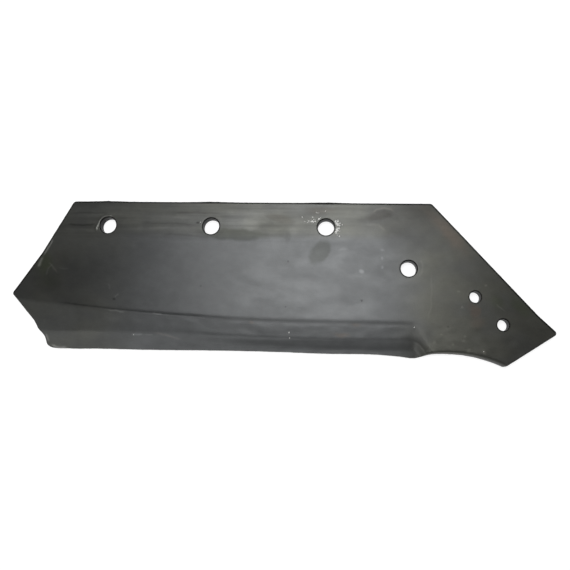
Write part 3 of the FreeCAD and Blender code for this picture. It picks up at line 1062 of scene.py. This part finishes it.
def scale_grain_group():
    """Fine speckle of mill scale: a shade around one, and a height."""
    group, inlet, outlet = new_group(
        "scale_grain",
        [("Contrast", "NodeSocketFloat", 0.15)],
        [("Shade", "NodeSocketFloat"), ("Height", "NodeSocketFloat")],
    )
    fine = stretched_noise(group, (900, 900, 900), 4.0, 0.6)
    patches = stretched_noise(group, (110, 160, 160), 3.0, 0.55)
    both = sum_of(group, "ADD", sum_of(group, "MULTIPLY", fine, 0.6), sum_of(group, "MULTIPLY", patches, 0.4))
    swing = sum_of(group, "MULTIPLY", sum_of(group, "SUBTRACT", both, 0.5), inlet.outputs["Contrast"])
    shade = sum_of(group, "ADD", sum_of(group, "MULTIPLY", swing, 4.0), 1.0)
    group.links.new(shade, outlet.inputs["Shade"])
    group.links.new(both, outlet.inputs["Height"])
    return group


def shaded(tree, color, shade):
    """A colour times a plain shade."""
    grey = add(tree, "ShaderNodeCombineColor", Red=shade, Green=shade, Blue=shade).outputs["Color"]
    return mixed(tree, 1.0, color, grey, "MULTIPLY")


def new_material(name, **values):
    """A new material, its tree and its Principled shader with plain values by socket, _ for a space."""
    material = bpy.data.materials.new(name)
    material.use_nodes = True
    shader = material.node_tree.nodes["Principled BSDF"]
    for label, value in values.items():
        fill_socket(material.node_tree, shader.inputs[label.replace("_", " ")], value)
    return material, material.node_tree, shader


def scaled_steel(name, grain, colors):
    """Dark satin mill scale on the rolled and forged faces."""
    material, tree, steel = new_material(name, Metallic=0.7)
    place = add(tree, "ShaderNodeTexCoord").outputs["Object"]
    where = add(tree, "ShaderNodeSeparateXYZ", Vector=place)
    warmth = mask(tree, "warmth")
    uneven = ranged(tree, stretched_noise(tree, (22, 30, 30), 3.0), 0.3, 0.7, 0.55, 1.15)
    tint = sum_of(tree, "MULTIPLY", mask(tree, "olive"), uneven)
    color = mixed(tree, tint, colors.scale_color, colors.olive_color)
    color = mixed(tree, ranged(tree, warmth, 0.0, 1.0, 0.0, 0.8), color, colors.rust_color)
    color = mixed(tree, ranged(tree, warmth, 0.0, -1.0, 0.0, 0.8), color, colors.green_color)
    streaks = ranged(tree, stretched_noise(tree, (7, 190, 20), 3.0, 0.6), 0.3, 0.7, 0.86, 1.14)
    rolled = ranged(tree, where.outputs["Y"], -0.03, 0.0)
    rolled = sum_of(tree, "MULTIPLY", rolled, ranged(tree, where.outputs["X"], 0.14, 0.20, 1.0, 0.25))
    streak_shade = add(tree, "ShaderNodeMix", {"data_type": "FLOAT"}, Factor=rolled)
    fill_socket(tree, streak_shade.inputs[2], 1.0)
    fill_socket(tree, streak_shade.inputs[3], streaks)
    speckle = add(tree, "ShaderNodeGroup", {"node_tree": grain}, Contrast=0.10)
    shade = sum_of(tree, "MULTIPLY", streak_shade.outputs[0], speckle.outputs["Shade"])
    mottled = ranged(tree, stretched_noise(tree, (45, 60, 60), 4.0, 0.65), 0.25, 0.75, 0.90, 1.10)
    shade = sum_of(tree, "MULTIPLY", shade, mottled)
    # the shade mask carries the marks and stains, and the painted light and shade of the forged face's zones
    shade = sum_of(tree, "MULTIPLY", shade, mask(tree, "shade"))
    color = shaded(tree, color, shade)
    color = mixed(tree, mask(tree, "bare"), color, colors.worn_color)
    tree.links.new(color, steel.inputs["Base Color"])
    rough = ranged(tree, stretched_noise(tree, (30, 60, 60), 3.0), 0.3, 0.7, 0.32, 0.37)
    tree.links.new(rough, steel.inputs["Roughness"])
    # the dark steel's even reflection fades with its shade: stains and painted shade look dark in any light
    stain_and_shade_gloss = ranged(tree, mask(tree, "shade"), 0.1, 1.0, 0.08, 0.5)
    tree.links.new(stain_and_shade_gloss, steel.inputs["Specular IOR Level"])
    bump = add(tree, "ShaderNodeBump", Strength=0.35, Distance=0.00006, Height=speckle.outputs["Height"])
    tree.links.new(bump.outputs["Normal"], steel.inputs["Normal"])
    return material


def cropped_steel(name, grain, colors):
    """Torn steel on the cropped edges, and painted shade: near-black steel in the punched holes."""
    material, tree, steel = new_material(name, Metallic=0.5, Roughness=0.5)
    speckle = add(tree, "ShaderNodeGroup", {"node_tree": grain}, Contrast=0.3)
    rust = ranged(tree, stretched_noise(tree, (60, 60, 160), 4.0, 0.6), 0.5, 0.66)
    color = mixed(tree, rust, colors.cropped_color, colors.rust_color)
    # painted shade in the holes: near-black steel with a weak reflection
    color = mixed(tree, mask(tree, "in_hole"), color, colors.hole_wall_shade_color)
    color = shaded(tree, color, speckle.outputs["Shade"])
    tree.links.new(color, steel.inputs["Base Color"])
    shine = ranged(tree, mask(tree, "in_hole"), 0.0, 1.0, 0.5, 0.1)
    tree.links.new(shine, steel.inputs["Specular IOR Level"])
    bump = add(tree, "ShaderNodeBump", Strength=0.5, Distance=0.0001, Height=speckle.outputs["Height"])
    tree.links.new(bump.outputs["Normal"], steel.inputs["Normal"])
    return material


def fleck_steel(name, grain, colors):
    """Bright broken steel of spatter and lifted scale."""
    material, tree, steel = new_material(name, Metallic=0.6, Roughness=0.45)
    speckle = add(tree, "ShaderNodeGroup", {"node_tree": grain}, Contrast=0.3)
    color = shaded(tree, colors.fleck_color, speckle.outputs["Shade"])
    tree.links.new(color, steel.inputs["Base Color"])
    return material


# ---------------------------------------------------------------- spatter


def fleck_places():
    """Plan places and sizes of the flecks: the single ones, and the spatter round the nose bolt."""
    chance = random.Random(SPATTER_SEED)
    spots = [(place_of(hole, offset), width * MM) for hole, offset, width in FLECKS]
    centre, radius = HOLE_CENTRES[NOSE], bolt_holes()[NOSE][1]
    for first, last, near, far, count, widest in SPATTER:
        for _ in range(count):
            towards = direction(chance.uniform(first, last))
            reach = radius + chance.triangular(near, far, near) * MM
            spots.append((centre + reach * towards, chance.uniform(0.5, widest) * MM))
    return spots


def build_flecks(name, skin):
    """Small irregular flakes that stand on the skin's forged face."""
    chance = random.Random(SPATTER_SEED + 1)
    tree = BVHTree.FromObject(skin, bpy.context.evaluated_depsgraph_get())
    places = []
    faces = []
    for (x, y), width in fleck_places():
        ground = tree.ray_cast(Vector((x, y, 1)), Vector((0, 0, -1)))[0]
        if ground is None:
            continue
        first = len(places)
        turn = chance.uniform(0, math.tau)
        stretch = chance.uniform(1.0, 1.7)
        for out, up in FLAKE_PROFILE:
            for corner in range(FLAKE_CORNERS):
                angle = math.tau * corner / FLAKE_CORNERS
                reach = 0.5 * width * out * chance.uniform(0.75, 1.2)
                along, across = reach * stretch * math.cos(angle), reach * math.sin(angle)
                place_x = x + along * math.cos(turn) - across * math.sin(turn)
                place_y = y + along * math.sin(turn) + across * math.cos(turn)
                places.append((place_x, place_y, ground.z + up * width * chance.uniform(0.8, 1.2)))
        rings = [range(start, start + FLAKE_CORNERS) for start in range(first, len(places), FLAKE_CORNERS)]
        for lower, upper in zip(rings, rings[1:]):
            for corner in range(FLAKE_CORNERS):
                onward = (corner + 1) % FLAKE_CORNERS
                faces.append((lower[corner], lower[onward], upper[onward], upper[corner]))
        faces.append(tuple(rings[-1]))
        faces.append(tuple(reversed(rings[0])))
    mesh = bpy.data.meshes.new(name)
    mesh.from_pydata(places, [], faces)
    mesh.update()
    piece = bpy.data.objects.new(name, mesh)
    bpy.context.scene.collection.objects.link(piece)
    return piece


# ---------------------------------------------------------------- operators


class SHARE_OT_forge(bpy.types.Operator):
    """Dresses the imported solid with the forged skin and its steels"""

    bl_idname = "share.forge"
    bl_label = "Forge the share"

    def execute(self, context):
        skin = context.scene.share_skin
        colors = context.scene.share_steel
        piece = build_skin(SKIN, frame["nodes"][BLADE], skin)
        soften_rims(piece, ARRIS_REACH)
        grain = scale_grain_group()
        piece.data.materials.append(scaled_steel("mill_scaled_steel", grain, colors))
        piece.data.materials.append(cropped_steel("cropped_edge_steel", grain, colors))
        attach(piece, "root")
        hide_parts(BLADE)
        return {"FINISHED"}


def cove_mesh(name, radius, height, bend=0.8, segments=128):
    """A level floor that bends up into a round wall."""
    profile = [(radius, 0.0)]
    for i in range(1, 17):
        angle = math.pi / 2 * i / 16
        profile.append((radius + bend * math.sin(angle), bend * (1 - math.cos(angle))))
    profile.append((radius + bend, height))
    places = [(0, 0, 0)]
    faces = []
    for level, (out, up) in enumerate(profile):
        for i in range(segments):
            angle = math.tau * i / segments
            places.append((out * math.cos(angle), out * math.sin(angle), up))
            here = 1 + level * segments + i
            onward = 1 + level * segments + (i + 1) % segments
            if level == 0:
                faces.append((0, here, onward))
            else:
                faces.append((here - segments, here, onward, onward - segments))
    mesh = bpy.data.meshes.new(name)
    mesh.from_pydata(places, [], faces)
    mesh.polygons.foreach_set("use_smooth", np.ones(len(faces), bool))
    return mesh


def cove_paint(name, color, glow):
    """Pale matt paint that the camera and reflections see as white, and that keeps shadows."""
    white = (1, 1, 1)
    material, tree, paint = new_material(
        name, Base_Color=color, Roughness=0.9, Specular_IOR_Level=0.0, Emission_Color=white
    )
    path = add(tree, "ShaderNodeLightPath")
    seen = sum_of(tree, "MAXIMUM", path.outputs["Is Camera Ray"], path.outputs["Is Glossy Ray"])
    seen = sum_of(tree, "MAXIMUM", seen, path.outputs["Is Transmission Ray"])
    tree.links.new(sum_of(tree, "MULTIPLY", seen, glow), paint.inputs["Emission Strength"])
    return material


def studio_sky(name, low, overhead):
    """Even white light that is weaker straight above than low round about."""
    world = bpy.data.worlds.new(name)
    world.use_nodes = True
    tree = world.node_tree
    direction = add(tree, "ShaderNodeTexCoord").outputs["Generated"]
    up = add(tree, "ShaderNodeSeparateXYZ", Vector=direction).outputs["Z"]
    sky = tree.nodes["Background"]
    sky.inputs["Color"].default_value = (1, 1, 1, 1)
    tree.links.new(ranged(tree, up, 0.35, 0.85, low, overhead), sky.inputs["Strength"])
    return world


def soft_box(name, center, size, radiance):
    """A soft lamp that faces the share and looks as bright as the radiance says."""
    lamp = bpy.data.lights.new(name, "AREA")
    lamp.shape = "RECTANGLE"
    lamp.size, lamp.size_y = size
    lamp.energy = 4 * radiance * lamp.size * lamp.size_y
    box = bpy.data.objects.new(name, lamp)
    middle = (Vector(CAD_BOX[0]) + Vector(CAD_BOX[1])) / 2
    box.location = center
    box.rotation_euler = (Vector(center) - middle).to_track_quat("Z", "Y").to_euler()
    bpy.context.scene.collection.objects.link(box)


class SHARE_OT_spatter(bpy.types.Operator):
    """Scatters the bright flecks over the forged face"""

    bl_idname = "share.spatter"
    bl_label = "Scatter the flecks"

    def execute(self, context):
        colors = context.scene.share_steel
        piece = build_flecks("bright_flecks", bpy.data.objects[SKIN])
        piece.data.materials.append(fleck_steel("fleck_steel", bpy.data.node_groups["scale_grain"], colors))
        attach(piece, "root")
        return {"FINISHED"}


class SHARE_OT_stage(bpy.types.Operator):
    """Sets the cove, the soft light and the camera round the share"""

    bl_idname = "share.stage"
    bl_label = "Set the stage"

    def execute(self, context):
        stage = context.scene.share_stage
        scene = context.scene
        cove = bpy.data.objects.new("cove", cove_mesh("cove", stage.cove_radius, stage.cove_height))
        cove.data.materials.append(cove_paint("cove_paint", stage.cove_color, stage.cove_glow))
        scene.collection.objects.link(cove)
        scene.world = studio_sky("sky", stage.sky_low, stage.sky_overhead)
        soft_box("main_soft_box", stage.main_center, stage.main_size, stage.main_radiance)
        soft_box("side_soft_box", stage.side_center, stage.side_size, stage.side_radiance)
        camera = bpy.data.objects.new("camera", bpy.data.cameras.new("camera"))
        camera.data.lens = stage.camera_lens
        camera.data.clip_start = 0.01
        camera.location = stage.camera_place
        camera.rotation_euler = stage.camera_turn
        scene.collection.objects.link(camera)
        scene.camera = camera
        scene.view_settings.view_transform = "Standard"
        return {"FINISHED"}


class SHARE_PT_sidebar(bpy.types.Panel):
    """Lists the share's sizes, colours and steps"""

    bl_idname = "SHARE_PT_sidebar"
    bl_label = "Plough share"
    bl_space_type = "VIEW_3D"
    bl_region_type = "UI"
    bl_category = "Share"

    def draw(self, context):
        for settings in (context.scene.share_skin, context.scene.share_steel, context.scene.share_stage):
            column = self.layout.box().column()
            for name in settings.bl_rna.properties.keys():
                if name not in ("rna_type", "name"):
                    column.prop(settings, name)
        for step in (SHARE_OT_forge, SHARE_OT_spatter, SHARE_OT_stage):
            self.layout.operator(step.bl_idname)


CLASSES = (
    ShareSkin,
    ShareSteel,
    ShareStage,
    SHARE_OT_forge,
    SHARE_OT_spatter,
    SHARE_OT_stage,
    SHARE_PT_sidebar,
)


def register():
    for kind in CLASSES:
        bpy.utils.register_class(kind)
    bpy.types.Scene.share_skin = PointerProperty(type=ShareSkin)
    bpy.types.Scene.share_steel = PointerProperty(type=ShareSteel)
    bpy.types.Scene.share_stage = PointerProperty(type=ShareStage)


def unregister():
    del bpy.types.Scene.share_stage
    del bpy.types.Scene.share_steel
    del bpy.types.Scene.share_skin
    for kind in reversed(CLASSES):
        bpy.utils.unregister_class(kind)


def main():
    register()
    bpy.ops.share.forge()
    bpy.ops.share.spatter()
    bpy.ops.share.stage()


if __name__ == "__main__":
    main()
